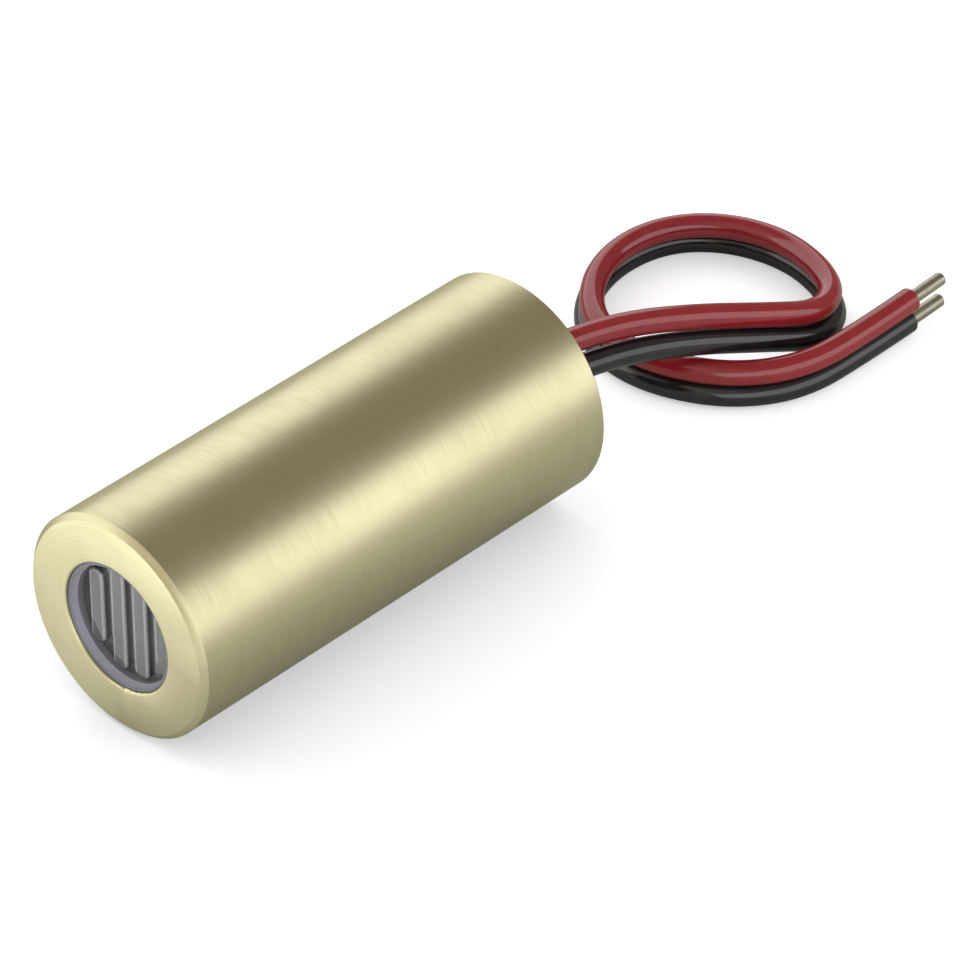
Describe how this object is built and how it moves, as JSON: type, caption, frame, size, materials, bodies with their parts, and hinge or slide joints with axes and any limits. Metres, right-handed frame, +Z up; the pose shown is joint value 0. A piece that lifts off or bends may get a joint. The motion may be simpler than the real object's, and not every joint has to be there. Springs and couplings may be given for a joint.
{
  "type": "laser diode module",
  "caption": "Round line laser module: a smooth brass barrel with a ribbed clear lens recessed in its front face, and short insulated leads lying in a loop behind it.",
  "frame": {"origin": "centre of the barrel's front face, on the beam axis", "axes": "-Y along the beam, out of the front face; +Y back along the barrel, towards the leads; +Z up, from the surface that the barrel and its leads lie on"},
  "size_m": [0.012, 0.0403, 0.009],
  "materials": {
    "housing": "turned and brushed round the barrel, soft shine",
    "line_lens": "clear moulded acrylic, polished",
    "lens_sleeve": "smooth light grey moulding",
    "baffle_ring": "matt grey",
    "lens_cell": "fine turned, threaded outside",
    "collimator_lens": "clear moulded acrylic, polished",
    "lens_keeper": "fine turned",
    "focus_spring": "drawn wire",
    "diode_base": "gold plated",
    "diode_cap": "nickel plated, satin",
    "diode_window": "clear, polished",
    "laser_chip": "dark semiconductor, smooth",
    "chip_submount": "metallised, satin",
    "light_sensor": "dark silicon, smooth",
    "diode_pins": "gold plated",
    "pin_seals": "sealing glass",
    "press_ring": "fine turned",
    "insulating_disc": "plain laminate",
    "driver_board": "green solder mask",
    "driver_chip": "matt black moulding",
    "driver_chip_leads": "tinned",
    "transistor": "matt black moulding",
    "transistor_leads": "tinned",
    "resistors": "black face, tinned ends",
    "capacitors": "tan body, tinned ends",
    "solder_joints": "bright solder",
    "inner_wire_ends": "tinned copper strands",
    "rear_resin": "smooth black resin",
    "wire_red": "glossy insulation",
    "wire_black": "glossy insulation",
    "wire_tip_red": "dull tinned copper",
    "wire_tip_black": "dull tinned copper"
  },
  "bodies": {
    "root": {"housing": "housing", "line_lens": "line_lens", "lens_sleeve": "lens_sleeve", "baffle_ring": "baffle_ring", "lens_cell": "lens_cell", "collimator_lens": "collimator_lens", "lens_keeper": "lens_keeper", "focus_spring": "focus_spring", "diode_base": "diode_base", "diode_cap": "diode_cap", "diode_window": "diode_window", "laser_chip": "laser_chip", "chip_submount": "chip_submount", "light_sensor": "light_sensor", "diode_pins": "diode_pins", "pin_seals": "pin_seals", "press_ring": "press_ring", "insulating_disc": "insulating_disc", "driver_board": "driver_board", "driver_chip": "driver_chip", "driver_chip_leads": "driver_chip_leads", "transistor": "transistor", "transistor_leads": "transistor_leads", "resistors": "resistors", "capacitors": "capacitors", "solder_joints": "solder_joints", "inner_wire_ends": "inner_wire_ends", "rear_resin": "rear_resin", "wire_red": "wire_red", "wire_black": "wire_black", "wire_tip_red": "wire_tip_red", "wire_tip_black": "wire_tip_black"}
  },
  "joints": []
}
